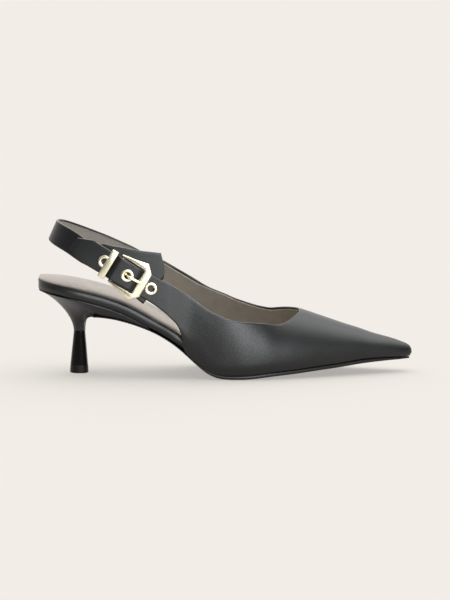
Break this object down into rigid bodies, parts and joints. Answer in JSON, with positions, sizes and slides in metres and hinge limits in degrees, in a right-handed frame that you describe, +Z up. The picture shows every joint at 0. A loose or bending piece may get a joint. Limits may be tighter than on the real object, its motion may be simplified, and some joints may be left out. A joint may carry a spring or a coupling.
{
  "type": "slingback pump",
  "caption": "Pointed slingback pump with a kitten heel, a deep vamp, a strap round the back and an angular buckle on the outer side.",
  "frame": {"origin": "centre of the shoe's bounding box, on the floor under the sole", "axes": "+X from heel to toe, +Y to the medial side of the foot, +Z up"},
  "size_m": [0.258, 0.0788, 0.1062],
  "materials": {
    "leather": "smooth fine grain, soft sheen",
    "sock": "smooth pale lining leather",
    "sole": "matt",
    "heel_gloss": "high gloss",
    "top_piece": "matt",
    "gold": "polished pale gold, faceted"
  },
  "bodies": {
    "root": {"outsole": "sole", "heel": "leather", "heel_stem": "heel_gloss", "top_piece": "top_piece", "insole_board": "leather", "insole": "sock", "upper": "leather", "sling_strap": "leather", "buckle_frame": "gold", "buckle_keeper": "gold", "buckle_pin": "gold", "buckle_prong": "gold", "eyelet_1": "gold", "eyelet_2": "gold", "eyelet_3": "gold"}
  },
  "joints": []
}
